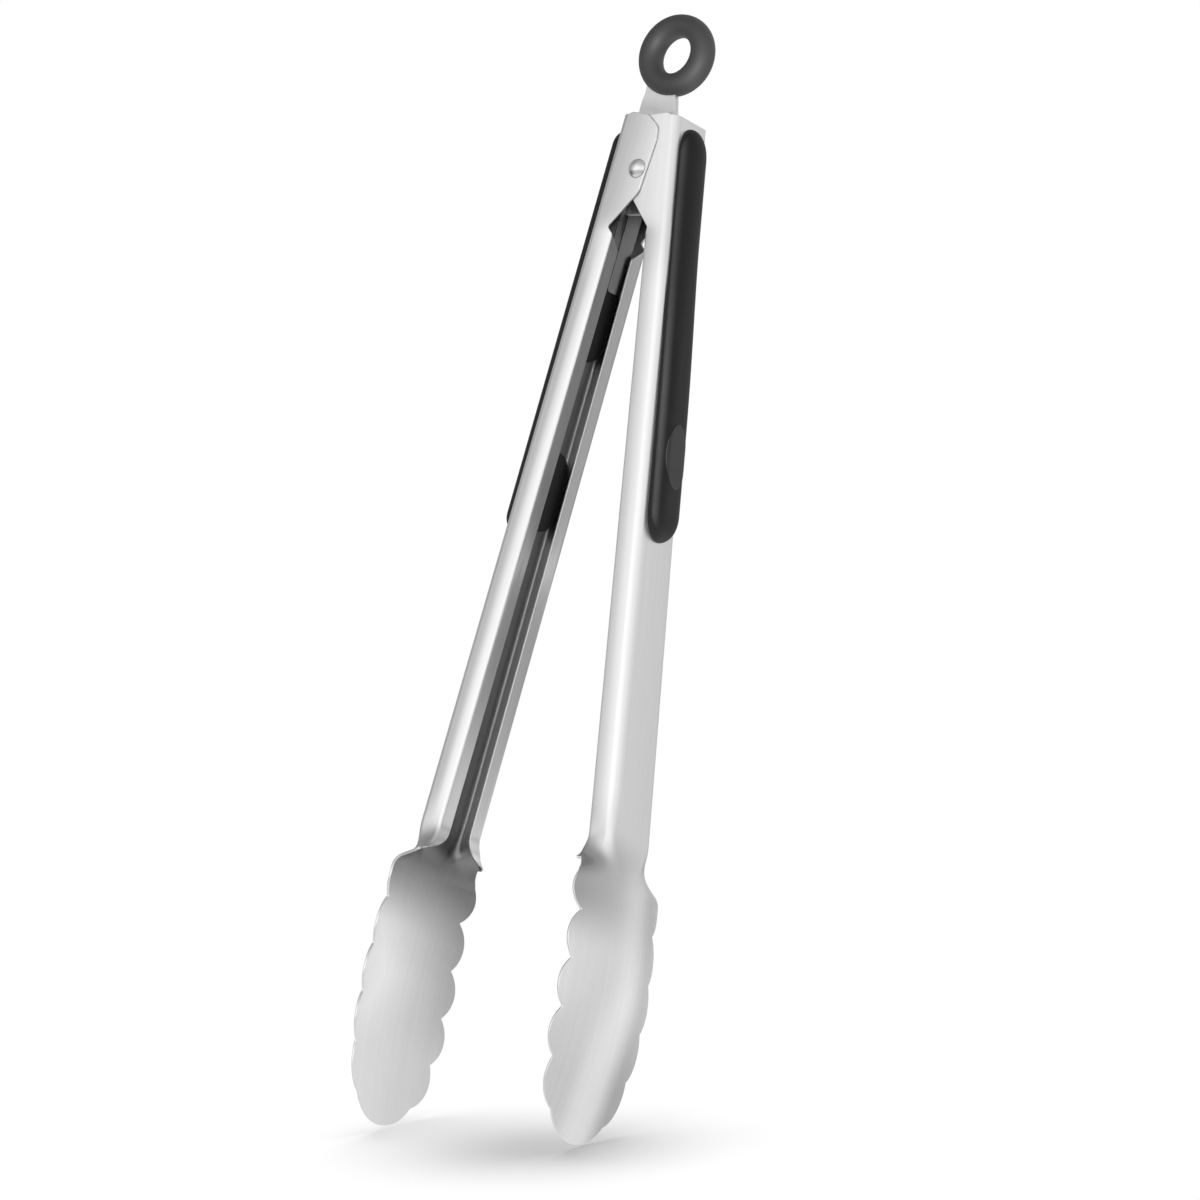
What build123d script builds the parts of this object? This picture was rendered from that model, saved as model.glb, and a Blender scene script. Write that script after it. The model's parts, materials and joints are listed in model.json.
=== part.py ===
"""Spring loaded kitchen tongs with scalloped spoon heads, soft grips and a pull lock.

Each piece of the tongs is made on its own and written to its own STEP file, in millimetres.
The tongs hang from the ring: its centre is the origin, +Z points up through it, +Y runs
along the pivot rivet and +X points to the inner arm. The arms stand open, at rest.
"""

import os
from math import acos, atan2, cos, pi, radians, sin, sqrt

from build123d import *

os.makedirs("parts", exist_ok=True)

# %% Overall layout
pin_to_ring = 38.3  # pivot rivet up to the centre of the hanging ring
open_angle = 6.6  # each arm away from the middle plane, at rest
sheet = 0.8  # stainless sheet of the arms
slide_gap = 0.12  # between the nested ears, and between a sleeve and its neighbours

# %% Arm channel, seen with the arms closed: x is measured out from the middle plane
back_out = 12.3  # outer face of the back plate
outer_inset = 1.5  # the outer arm sits this much closer to the pin than the inner arm
lip_out = 4.0  # face of the lips that looks at the other arm
lip_width = 5.6  # how far each lip reaches in from the flange
ear_width = 17.0  # over the ears of the inner arm
neck_width = 21.2  # over the channel where it meets the head
back_bend = 2.2  # outer bend radius along the back plate
lip_bend = 1.1  # outer bend radius along the lips
ear_top = 17.0  # top of the ears above the pin
back_top = 16.2  # top edge of the back plate above the pin
ear_reach = 3.9  # how far an ear passes the middle plane
notch_out = 4.8  # from the pin out to the apex of the relief notch
notch_depth = 18.6  # apex of the relief notch below the pin
lip_start = 21.5  # where the channel with lips begins below the pin
neck_at = 206.0  # where the channel ends and the head begins, below the pin
lip_end = 212.0  # where the lips run out

# %% Spoon head
lobe_pitch = 14.4  # from one valley of the rim to the next
first_valley = 229.0  # below the pin
valley_half = (18.4, 19.8, 20.0, 18.8, 13.2)  # half width of the head at each valley
lobe_rise = 3.0  # a lobe stands this far proud of its chord
tip_rise = 7.4  # the end lobe stands this far proud of the last valleys
shoulder_half = 21.6  # half width over the shoulder lobes
shoulder_at = 222.0  # widest place of the shoulder lobes, below the pin
dish_radius = 62.0  # radius of the hollow across the head
dish_turn = 20.0  # slope of the head at its rim, in degrees
inner_toe = 12.5  # how far the inner head curves in from its root to its tip
outer_toe = 8.2  # the same for the outer head
wing_length = 24.0  # developed half width of the flattened sheet
head_step = 0.12  # the head stands this far outside the channel where the two fuse

# %% Hinge
rivet_radius = 2.0
hinge_clearance = 0.05  # radial, of the rivet in the ears
rivet_head_radius = 2.95
rivet_head_rise = 1.7
sleeve_radius = 3.7
leaf_sheet = 0.5  # spring steel of the leaf springs
leaf_gap = 0.35  # between a sleeve and the bend of its spring
leaf_half = 5.2  # from the middle of the rivet out to the side of each spring
leaf_reach = 36.5  # where the leaf springs end on the upper anchors, below the pin
leaf_corner = 1.4  # rounding of their ends

# %% Lock plate and ring
plate_sheet = 0.8
fold_gap = 0.1  # between the two layers of the folded plate
lock_travel = 8.0
tab_half = 5.7  # half width of the tab where it enters the ring
plate_half = 7.6  # half width of the plate between the arms
foot_half = 8.3  # half width of the shoulders at its foot
plate_foot = 12.4  # foot of the plate below the pin
plate_side = -2.4  # middle of the plate along the rivet
slot_clearance = 0.1
ring_radius = 9.3
ring_tube = 3.5  # half of its section towards and away from its centre
ring_depth = 4.3  # half of its section along its axis
eye_inner = 7.9
eye_outer = 10.7

# %% Grips
grip_half = 6.1
grip_rise = 4.8
grip_edge = 3.2  # rounding along the grip
grip_top = 13.6  # above the pin
grip_bottom = 114.5  # below the pin
anchor_tops = (34.0, 87.0)  # top of each anchor below the pin
anchor_length = 24.5
anchor_half = 6.1
anchor_rise = 5.0  # into the channel
neck_half = 4.0  # half width of an anchor where it passes the back plate
neck_inset = 2.4  # its ends stand this far inside the ends of the anchor
neck_plug = 2.2  # how far it reaches into the grip
inlay_at = 88.6  # centre of the thumb inlay below the pin
inlay_length = 19.9
inlay_half = 4.8
inlay_depth = 1.0

pin_height = -pin_to_ring
ear_nest = sheet + slide_gap


# %% Small helpers
def prism_y(points, reach):
    """Plate with the given outline in x and z, from -reach to +reach along y."""
    face = make_face(Plane.XZ * Polyline(*points, close=True))
    return extrude(face, reach, both=True)


def prism_x(points, low, high):
    """Block with the given outline in y and z, from low to high along x."""
    face = make_face(Plane.YZ.offset(low) * Polyline(*points, close=True))
    return extrude(face, high - low, dir=(1, 0, 0))


def rod(start, end, radius):
    """Round bar between two points."""
    start = Vector(*start)
    end = Vector(*end)
    along = end - start
    return extrude(Plane(start, z_dir=along) * Circle(radius), along.length)


def along_y(shape):
    """Turns a shape made along z so that it lies along y."""
    return Rot(90, 0, 0) * shape


def smooth(value):
    """Runs from 0 to 1 with level ends."""
    value = min(1.0, max(0.0, value))
    return value * value * (3 - 2 * value)


def stadium(length, half):
    """Flat slot shape with its length along z and its width along y, facing +x."""
    return Plane.YZ * Rot(0, 0, 90) * SlotOverall(length, 2 * half)


# %% Head of an arm
def head_row(depth, toe, count=28):
    """Outer face of the sheet across the head, at one depth below the pin.

    The channel opens out like a sheet being flattened: a flat, a bend and a straight wing.
    """
    flat_again = smooth((depth - neck_at - 1) / 16)
    left = 1 - flat_again
    turn = dish_turn + (90 - dish_turn) * left**1.5
    curvature = left**3 / back_bend + (1 - left**3) / dish_radius
    flat = (neck_width / 2 + head_step - back_bend) * left
    channel_half = flat_channel_half()
    grown = smooth((depth - lip_end - 0.5) / 9.5)
    developed = channel_half + (wing_length - channel_half) * grown
    fall = max(0.0, depth - first_valley) / (tip_depth() - first_valley)
    middle = back_out + head_step + 0.2 * flat_again - toe * fall**2.2
    radius = 1 / curvature
    row = []
    for step in range(-count, count + 1):
        run = abs(step) / count * developed
        arc = min(max(0.0, run - flat), radius * radians(turn))
        rest = max(0.0, run - flat - radius * radians(turn))
        bend = arc / radius
        side = min(run, flat) + radius * sin(bend) + rest * cos(bend)
        drop = radius * (1 - cos(bend)) + rest * sin(bend)
        row.append(Vector(middle - drop, side if step > 0 else -side, -depth))
    return row


def flat_channel_half():
    """Developed half width of the channel without its lips."""
    wall = back_out - lip_out - back_bend - 0.2
    return neck_width / 2 - back_bend + pi / 2 * back_bend + wall


def tip_depth():
    """Depth of the tip below the pin."""
    return first_valley + (len(valley_half) - 1) * lobe_pitch + tip_rise


def head_outline():
    """Scalloped outline of the head in y and z, open wide above the shoulder lobes."""
    valleys = [(half, -first_valley - lobe_pitch * n) for n, half in enumerate(valley_half)]
    high = -neck_at + 2
    start = (valley_half[0] + 1.0, -shoulder_at + 5.5)
    edges = [Line((0, high), (40, high)), Line((40, high), (40, start[1]))]
    edges.append(Line((40, start[1]), start))
    edges.append(ThreePointArc(start, (shoulder_half, -shoulder_at), valleys[0]))
    for upper, lower in zip(valleys, valleys[1:]):
        mid = ((upper[0] + lower[0]) / 2, (upper[1] + lower[1]) / 2)
        chord = (lower[0] - upper[0], lower[1] - upper[1])
        length = sqrt(chord[0] ** 2 + chord[1] ** 2)
        out = (-chord[1] / length, chord[0] / length)
        crest = (mid[0] + out[0] * lobe_rise, mid[1] + out[1] * lobe_rise)
        edges.append(ThreePointArc(upper, crest, lower))
    last = valleys[-1]
    radius = (last[0] ** 2 + tip_rise**2) / (2 * tip_rise)
    turn = atan2(last[0], radius - tip_rise) / 2
    low = -tip_depth()
    between = (radius * sin(turn), low + radius - radius * cos(turn))
    edges.append(ThreePointArc(last, between, (0, low)))
    mirrored = [mirror(edge, Plane.YZ) for edge in edges]
    return make_face(Plane.YZ * (Curve() + edges + mirrored))


def make_head(toe):
    """Dished, scalloped shell of one sheet thickness."""
    depths = [neck_at - 1 + 1.5 * n for n in range(16)]
    while depths[-1] < tip_depth() + 4:
        depths.append(depths[-1] + 4.0)
    grid = [head_row(depth, toe) for depth in depths]
    skin = Face.make_surface_from_array_of_points(grid, tol=0.02)
    shell = Solid.thicken(skin, -sheet)
    if shell.bounding_box().max.X > back_out + 0.9:
        shell = Solid.thicken(skin, sheet)
    return shell & extrude(head_outline(), 40, both=True)


# %% Arms, made closed with the back plate towards +x
def half_width(ears, depth):
    """Half width over the channel at one depth below the pin."""
    share = min(1.0, max(0.0, (depth - lip_start) / (neck_at - lip_start)))
    return (ears + (neck_width - ears) * share) / 2


def channel_block(ears, high, low, inset, inner, outer):
    """Tapered block along the channel, set in from its flanges by inset."""
    depths = [-high, -low]
    if -high < lip_start < -low:
        depths.insert(1, lip_start)
    right = [(half_width(ears, depth) - inset, -depth) for depth in depths]
    left = [(-y, z) for y, z in reversed(right)]
    return prism_x(right + left, inner, outer)


def long_edges(shape, x):
    """Edges that run down the channel at one x."""
    edges = shape.edges().filter_by(lambda e: abs(e.tangent_at(0.5).Z) > 0.9)
    return edges.filter_by(lambda e: abs(e.center().X - x) < 0.01)


def make_arm(ears, pin_at, toe):
    """One stamped arm with its ears, channel, lips and head, and the pin hole at x = pin_at."""
    low = -neck_at - 0.5
    deep = pin_at - ear_reach - 1
    body = channel_block(ears, ear_top + 1, low, 0, deep, back_out)
    body = fillet(long_edges(body, back_out), back_bend)
    inside = back_out - sheet
    hollow = channel_block(ears, ear_top + 3, low - 5, sheet, deep - 2, inside)
    hollow = fillet(long_edges(hollow, inside), back_bend - sheet)

    # Side view: the flanges widen into ears past the pin, and a notch frees the lips.
    side_view = [
        (back_out + 1, back_top - 0.4),
        (back_out - back_bend, back_top),
        (back_out - 3.4, ear_top),
        (pin_at + 1.5, ear_top),
        (pin_at - ear_reach + 0.8, ear_top - 3.2),
        (pin_at - ear_reach, ear_top - 7.4),
        (pin_at - ear_reach + 1.1, -7.0),
        (pin_at + notch_out, -notch_depth),
        (lip_out, -lip_start + 0.2),
        (lip_out, low - 1),
        (back_out + 1, low - 1),
    ]
    outline = make_face(Plane.XZ * Polyline(*side_view, close=True))
    for corner, radius in zip(side_view[2:8], (2.0, 3.0, 3.0, 3.0, 4.0, 1.0)):
        near = outline.vertices().sort_by(lambda v: abs(v.X - corner[0]) + abs(v.Z - corner[1]))
        outline = fillet(near[0], radius)
    arm = (body - hollow) & extrude(outline, 30, both=True)

    # Lips, with their upper ends cut on a slant.
    lips = channel_block(ears, -lip_start, low, 0, lip_out, lip_out + sheet)
    lips = lips - channel_block(ears, -lip_start + 5, low - 5, lip_width, 0, back_out)
    half = half_width(ears, lip_start)
    free = half - lip_width - 1
    for side in (1, -1):
        cut = [(side * (half - 0.8), -lip_start + 1), (side * free, -lip_start + 1)]
        cut.append((side * free, -lip_start - 4.2))
        lips = lips - prism_x(cut, 0, back_out - sheet)
    arm = arm + lips
    square = channel_block(ears, -lip_start, low, 0, lip_out, back_out)
    arm = arm - (square - fillet(long_edges(square, lip_out), lip_bend))

    # Lips run a little way on to where the flanges open out.
    tails = []
    for side in (1, -1):
        free = neck_width / 2 - lip_width
        tail = [
            (side * (neck_width / 2 - 0.5), -neck_at + 1),
            (side * free, -neck_at + 1),
            (side * (free + 0.6), -neck_at - 2),
            (side * (neck_width / 2 + 0.3), -lip_end),
            (side * (neck_width / 2 + 0.8), -lip_end + 0.6),
        ]
        tails.append(prism_x(tail, lip_out, lip_out + sheet))
    arm = arm + make_head(toe)
    for tail in tails:
        arm = arm + tail
    arm = arm - Pos(pin_at, 0, 0) * along_y(Cylinder(rivet_radius + hinge_clearance, 60))
    for top in anchor_tops:
        arm = arm - anchor_neck(top, 0.0, 30.0)
    return arm


def anchor_neck(top, gap, reach):
    """Stadium bar through the back plate, from inside the channel out to reach."""
    length = anchor_length - 2 * neck_inset + 2 * gap
    middle = -(top + anchor_length / 2)
    profile = Pos(back_out - sheet - 1.0, 0, middle) * stadium(length, neck_half + gap)
    return extrude(profile, reach, dir=(1, 0, 0))


# %% Grip pieces, made on the closed inner arm
def inlay_tool(extra):
    """Upright oval block over the thumb place of a grip."""
    oval = Plane.YZ * Rot(0, 0, 90) * Ellipse(inlay_length / 2 + extra, inlay_half + extra)
    return Pos(back_out + 2.2, 0, -inlay_at) * extrude(oval, 12, dir=(1, 0, 0))


def grip_body(shrink=0.0):
    """Domed stadium pad on the back plate."""
    length = grip_top + grip_bottom - 2 * shrink
    middle = (grip_top - grip_bottom) / 2
    profile = Pos(back_out, 0, middle) * stadium(length, grip_half - shrink)
    pad = extrude(profile, grip_rise - shrink, dir=(1, 0, 0))
    crown = pad.faces().sort_by(Axis.X)[-1]
    return fillet(crown.edges(), grip_edge - shrink)


def make_grip():
    """Soft pad with a shallow oval pocket and a socket for each anchor."""
    pad = grip_body()
    pad = pad - (inlay_tool(0.0) - grip_body(inlay_depth))
    for top in anchor_tops:
        pad = pad - anchor_neck(top, 0.0, 1.0 + sheet + neck_plug)
    return pad


def make_inlay():
    """Plain oval inlay that sits just below the face of the grip."""
    return (inlay_tool(0.0) & grip_body(0.15)) - grip_body(inlay_depth)


def make_anchor(top):
    """Anchor with a broad head in the channel and a neck through the back plate."""
    middle = -(top + anchor_length / 2)
    inner = back_out - sheet - anchor_rise
    profile = Pos(inner, 0, middle) * stadium(anchor_length, anchor_half)
    head = extrude(profile, anchor_rise, dir=(1, 0, 0))
    face = head.faces().sort_by(Axis.X)[0]
    head = fillet(face.edges(), 1.2)
    return head + anchor_neck(top, 0.0, 1.0 + sheet + neck_plug)


# %% Placing
def place_inner(shape):
    """Opens a piece of the inner arm and moves it under the ring."""
    return Pos(0, 0, pin_height) * Rot(0, -open_angle, 0) * shape


def place_outer(shape):
    """The same for the outer arm, on the other side and closer in."""
    flipped = mirror(Pos(-outer_inset, 0, 0) * shape, Plane.YZ)
    return Pos(0, 0, pin_height) * Rot(0, open_angle, 0) * flipped


def place_middle(shape):
    """Moves a piece made round the pin under the ring."""
    return Pos(0, 0, pin_height) * shape


# %% Hinge pieces
outer_ear = ear_width / 2 + ear_nest
inner_face = ear_width / 2 - sheet


def make_rivet():
    """Rivet with a domed head at each end."""
    under = outer_ear + slide_gap
    body = Cylinder(rivet_radius, 2 * under + 0.2)
    dome_radius = (rivet_head_radius**2 + rivet_head_rise**2) / (2 * rivet_head_rise)
    dome = Pos(0, 0, rivet_head_rise - dome_radius) * Sphere(dome_radius)
    dome = dome & Pos(0, 0, 5) * Cylinder(rivet_head_radius + 1, 10)
    top = Pos(0, 0, under) * dome
    return along_y(body + top + Rot(180, 0, 0) * top)


plate_face = plate_sheet + fold_gap / 2


def beside_plate(side, gap, far):
    """Room along the rivet from the lock plate out to far, on one side."""
    near = plate_side + side * (plate_face + slide_gap + gap)
    return sorted((near, side * far))


def make_sleeve(side):
    """Spacer sleeve on the rivet, between the lock plate and an ear."""
    low, high = beside_plate(side, 0.0, inner_face - slide_gap)
    tube = Cylinder(sleeve_radius, high - low) - Cylinder(rivet_radius + 0.03, 40)
    return Pos(0, (low + high) / 2, 0) * Rot(90, 0, 0) * tube


def leg_line(inset):
    """Foot of a spring leg in x and z, and the way out from the leg, at the inner arm."""
    mean = sleeve_radius + leaf_gap + leaf_sheet / 2
    rest_x = back_out - inset - sheet - anchor_rise - 0.1 - leaf_sheet / 2
    angle = radians(open_angle)
    foot_x = rest_x * cos(angle) + leaf_reach * sin(angle)
    foot_z = rest_x * sin(angle) - leaf_reach * cos(angle)
    start = atan2(foot_z, foot_x) + acos(mean / sqrt(foot_x**2 + foot_z**2))
    return (foot_x, foot_z), (cos(start), sin(start))


def make_spring(side):
    """Leaf spring bent over a sleeve, with one leg down to the upper anchor of each arm."""
    inner = sleeve_radius + leaf_gap
    edges = []
    for radius, past in ((inner, -leaf_sheet / 2), (inner + leaf_sheet, leaf_sheet / 2)):
        ends = []
        for inset, hand in ((0.0, 1), (outer_inset, -1)):
            foot, out = leg_line(inset)
            ends.append((hand * (foot[0] + out[0] * past), foot[1] + out[1] * past))
            ends.append((hand * out[0] * radius, out[1] * radius))
        edges.append(Line(ends[0], ends[1]))
        edges.append(ThreePointArc(ends[1], (0, radius), ends[3]))
        edges.append(Line(ends[3], ends[2]))
    edges.append(Line(edges[0] @ 0, edges[3] @ 0))
    edges.append(Line(edges[2] @ 1, edges[5] @ 1))
    low, high = beside_plate(side, 0.1, leaf_half)
    profile = Plane.XZ.offset(-low) * make_face(Curve() + edges)
    strip = extrude(profile, high - low, dir=(0, 1, 0))
    across = strip.edges().filter_by(lambda e: abs(e.length - leaf_sheet) < 0.01)
    outside = across.sort_by(Axis.Y)[-2:] if side > 0 else across.sort_by(Axis.Y)[:2]
    return fillet(outside, leaf_corner)


# %% Lock plate and hanging ring, made round the pin
def make_lock_plate():
    """Strip folded double, with a slot for the rivet and an eye for the ring."""
    tab_low = 20.0
    side = [
        (tab_half, pin_to_ring - ring_radius + 1.0),
        (tab_half, 26.5),
        (plate_half, tab_low),
        (plate_half, 3.0),
        (plate_half, -2.6),
        (foot_half, -4.2),
        (foot_half, -plate_foot + 2.5),
        (foot_half - 2.5, -plate_foot),
    ]
    outline = side + [(-x, z) for x, z in reversed(side)]
    strip = prism_y(outline, plate_face)
    eye = along_y(Cylinder(eye_outer, 2 * plate_face) - Cylinder(eye_inner, 10))
    plate = strip + Pos(0, 0, pin_to_ring) * eye
    fold_top = pin_to_ring - ring_radius - 0.5
    gap = Pos(0, 0, fold_top - 30) * Box(60, fold_gap, 60)
    slot_half = rivet_radius + slot_clearance
    slot_length = lock_travel + 2 * slot_half + 0.2
    slot = Pos(0, 0, 0.1 + slot_half - slot_length / 2) * (
        Plane.XZ * Rot(0, 0, 90) * SlotOverall(slot_length, 2 * slot_half)
    )
    return Pos(0, plate_side, 0) * (plate - gap - extrude(slot, 10, both=True))


def make_ring(plate):
    """Soft ring moulded round the eye of the lock plate."""
    section = Plane.XZ * Pos(ring_radius, 0, 0) * Ellipse(ring_tube, ring_depth)
    ring = Pos(0, 0, pin_to_ring) * along_y(revolve(section, Axis.Z))
    return ring - plate


# %% Build and write every piece
inner_arm = make_arm(ear_width, 0.0, inner_toe)
outer_arm = make_arm(ear_width + 2 * ear_nest, outer_inset, outer_toe)
lock_plate = make_lock_plate()
pieces = {
    "inner_arm": place_inner(inner_arm),
    "outer_arm": place_outer(outer_arm),
    "inner_grip": place_inner(make_grip()),
    "outer_grip": place_outer(make_grip()),
    "inner_grip_inlay": place_inner(make_inlay()),
    "outer_grip_inlay": place_outer(make_inlay()),
    "pivot_rivet": place_middle(make_rivet()),
    "near_sleeve": place_middle(make_sleeve(-1)),
    "far_sleeve": place_middle(make_sleeve(1)),
    "near_spring": place_middle(make_spring(-1)),
    "far_spring": place_middle(make_spring(1)),
    "lock_plate": place_middle(lock_plate),
    "hang_ring": place_middle(make_ring(lock_plate)),
}
for level, top in zip(("upper", "lower"), anchor_tops):
    anchor = make_anchor(top)
    pieces[f"inner_{level}_anchor"] = place_inner(anchor)
    pieces[f"outer_{level}_anchor"] = place_outer(anchor)

for name, piece in pieces.items():
    export_step(piece, f"parts/{name}.step")
    print(name, round(piece.volume), len(piece.solids()))
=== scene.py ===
# %% [markdown]
# Spring loaded kitchen tongs, dressed for a studio picture.
#
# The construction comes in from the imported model: every piece has its place and its size there.
# This script gives the pieces their finish. It makes the stamped arms, the grips, the springs,
# the ring and the lock plate again as finer meshes, because those are what catches the light.

# %% Load the frame
import json
from functools import partial
from math import acos, atan2, cos, degrees, pi, radians, sin

import bmesh
import bpy
import numpy as np
from mathutils import Matrix, Vector
from mathutils.geometry import delaunay_2d_cdt


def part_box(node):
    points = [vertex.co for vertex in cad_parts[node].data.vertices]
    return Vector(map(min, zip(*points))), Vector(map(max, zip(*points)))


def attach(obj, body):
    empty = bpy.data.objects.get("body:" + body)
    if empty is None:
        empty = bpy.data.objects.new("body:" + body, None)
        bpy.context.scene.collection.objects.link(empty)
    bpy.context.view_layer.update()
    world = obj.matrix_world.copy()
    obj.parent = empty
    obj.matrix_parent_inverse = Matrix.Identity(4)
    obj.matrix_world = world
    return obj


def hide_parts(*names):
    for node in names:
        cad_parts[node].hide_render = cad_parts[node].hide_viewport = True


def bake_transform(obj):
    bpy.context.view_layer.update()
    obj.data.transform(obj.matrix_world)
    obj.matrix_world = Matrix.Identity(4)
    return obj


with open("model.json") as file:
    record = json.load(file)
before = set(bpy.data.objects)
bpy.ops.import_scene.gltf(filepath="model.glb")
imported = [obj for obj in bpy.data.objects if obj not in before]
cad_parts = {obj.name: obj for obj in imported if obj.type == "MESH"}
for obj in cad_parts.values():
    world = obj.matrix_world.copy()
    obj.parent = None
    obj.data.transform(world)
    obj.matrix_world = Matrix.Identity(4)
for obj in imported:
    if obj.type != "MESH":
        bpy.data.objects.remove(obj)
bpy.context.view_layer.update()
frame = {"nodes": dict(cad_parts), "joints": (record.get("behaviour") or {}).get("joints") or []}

print("pieces in the frame:", len(frame["nodes"]))

# %% [markdown]
# The frame says where things are. The rivet is the pivot of both arms, so its centre is where
# every arm piece is placed from, and the range of the hinge tells how far the arms stand open.

# %% Where the pivot is and how far the arms are open
mm = 0.001
low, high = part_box("pivot_rivet")
pin = (low + high) / 2
low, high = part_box("hang_ring")
ring_centre = (low + high) / 2
hinge = [j for j in frame["joints"] if j["name"] == "inner_arm_hinge"][0]
open_angle = radians(hinge["range_deg"][1])
print("pivot", tuple(round(v, 4) for v in pin), "open by", round(degrees(open_angle), 2))

# %% [markdown]
# Every new thing is put into the scene in the same way, and most new meshes are shaded smooth
# up to some angle between their faces.

# %% Helpers for objects and meshes
def placed(name, data):
    """A new object in the scene."""
    thing = bpy.data.objects.new(name, data)
    bpy.context.scene.collection.objects.link(thing)
    return thing


def shade_smooth(mesh, sharp_over=180):
    """Smooth shading, with sharp edges where two faces meet at more than some degrees."""
    mesh.polygons.foreach_set("use_smooth", [True] * len(mesh.polygons))
    if sharp_over < 180:
        mesh.set_sharp_from_angle(angle=radians(sharp_over))


# %% [markdown]
# A long lens from far away keeps the two arms the same size. The camera looks from the near
# right side and a little from below, and it is rolled, so the tongs lean in the picture.

# %% Camera
view_azimuth = radians(36.5)
view_rise = radians(-10.98)
view_roll = radians(10.49)
view_distance = 2.2125
focal_ratio = 6.25  # focal length over the width of the frame
sensor = 36.0
aim = pin + Vector((0, 0, -0.14))
aim_right = 0.0088
aim_up = 0.0091

flat_reach = cos(view_rise)
toward = Vector(
    (sin(view_azimuth) * flat_reach, -cos(view_azimuth) * flat_reach, sin(view_rise))
)
level = Vector((cos(view_azimuth), sin(view_azimuth), 0))
upright = toward.cross(level)
right = cos(view_roll) * level + sin(view_roll) * upright
up = cos(view_roll) * upright - sin(view_roll) * level

camera_data = bpy.data.cameras.new("studio_camera")
camera_data.sensor_width = sensor
camera_data.lens = sensor * focal_ratio
camera_data.clip_end = 20
camera = placed("studio_camera", camera_data)
place = aim + view_distance * toward + aim_right * right + aim_up * up
camera.matrix_world = Matrix.Translation(place) @ Matrix((right, up, toward)).transposed().to_4x4()
bpy.context.scene.camera = camera
bpy.context.scene.view_settings.view_transform = "Standard"

# %% [markdown]
# Node trees are easier to read when a node is added and wired in one line, so some small
# helpers do that for shader trees and geometry trees alike.

# %% Helpers for node trees
def add(tree, kind, settings=None, **inputs):
    """A node with its settings and inputs: a value is set, and a node or a socket is linked."""
    node = tree.nodes.new(kind if "Node" in kind else "ShaderNode" + kind)
    for name, value in (settings or {}).items():
        setattr(node, name, value)
    for name, value in inputs.items():
        key = int(name[1:]) if name[0] == "i" and name[1:].isdigit() else name.replace("_", " ")
        socket = node.inputs[key]
        if isinstance(value, bpy.types.Node):
            value = value.outputs[0]
        if isinstance(value, bpy.types.NodeSocket):
            tree.links.new(value, socket)
        else:
            socket.default_value = value
    return node


def maths(tree, operation, first, second=0.0, third=0.0):
    """The result of one sum on sockets or numbers."""
    node = add(tree, "Math", {"operation": operation}, i0=first, i1=second, i2=third)
    return node.outputs[0]


def vectors(tree, operation, first, second):
    """A node with one sum on two vectors."""
    return add(tree, "VectorMath", {"operation": operation}, i0=first, i1=second)


def remap(tree, value, low, high, at_low=0.0, at_high=1.0, kind="LINEAR"):
    """A value brought from one range to another."""
    ends = {"From_Min": low, "From_Max": high, "To_Min": at_low, "To_Max": at_high}
    node = add(tree, "MapRange", {"interpolation_type": kind}, Value=value, **ends)
    return node.outputs[0]


def soft_step(tree, value, low, high, at_low, at_high):
    """The same with level ends."""
    return remap(tree, value, low, high, at_low, at_high, "SMOOTHSTEP")


def grey(tree, level):
    """A colour with three equal channels."""
    return add(tree, "CombineColor", Red=level, Green=level, Blue=level).outputs[0]


# %% [markdown]
# The camera sees white everywhere. Polished steel is different: it shows what it mirrors, and
# one even white would leave it flat. So for mirrored rays the backdrop has levels, like the
# walls of a studio. It is bright on the near side, most so at the left, duller on the far side,
# a little darker above, and dark under the horizon. Its directions are the camera's own.

# %% Backdrop
WHITE = (1, 1, 1, 1)
world = bpy.data.worlds.new("white_studio")
bpy.context.scene.world = world
world.use_nodes = True
tree = world.node_tree
tree.nodes.clear()
new, do, step, on_vectors = (partial(use, tree) for use in (add, maths, soft_step, vectors))
path = new("LightPath").outputs
direction = new("TexCoord").outputs["Generated"]
height, nearness, rightness = (
    on_vectors("DOT_PRODUCT", direction, tuple(axis)).outputs["Value"]
    for axis in (up, toward, right)
)
at_left = step(nearness, -0.3, 0.75, 0.46, 1.40)
far_right = step(nearness, -0.75, -0.25, 0.62, 0.84)
near_right = step(nearness, 0.25, 0.9, 0.0, 0.40)
at_right = do("ADD", far_right, near_right)
left_share = step(rightness, -0.6, 0.2, 1.0, 0.0)
left_gain = do("SUBTRACT", at_left, at_right)
sides = do("MULTIPLY_ADD", left_share, left_gain, at_right)
above = step(height, 0.3, 0.9, 1.0, 0.7)
under_horizon = step(height, -0.13, -0.02, 1.0, 0.0)
darkness = do("MULTIPLY", under_horizon, step(nearness, -0.4, 0.0, 0.92, 0.5))
below = do("SUBTRACT", 1.0, darkness)
levels = do("MULTIPLY", sides, do("MULTIPLY", above, below))
mirrored = do("MULTIPLY", path["Is Glossy Ray"], levels)
seen = do("MAXIMUM", path["Is Camera Ray"], path["Is Transmission Ray"])
ambient = 0.14  # what everything gets from all sides
strength = do("MAXIMUM", do("MAXIMUM", seen, mirrored), ambient)
background = new("Background", Color=WHITE, Strength=strength)
new("OutputWorld", Surface=background)

# %% [markdown]
# The tongs stand on both tips. The floor is a disc that passes just under the two tips and
# faces nearly along the camera's upright.

# %% Where the floor lies
floor_tilt = radians(9)
floor_radius = 0.42
floor_gap = 0.0004  # under the lower tip
rim_points = 96

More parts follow.
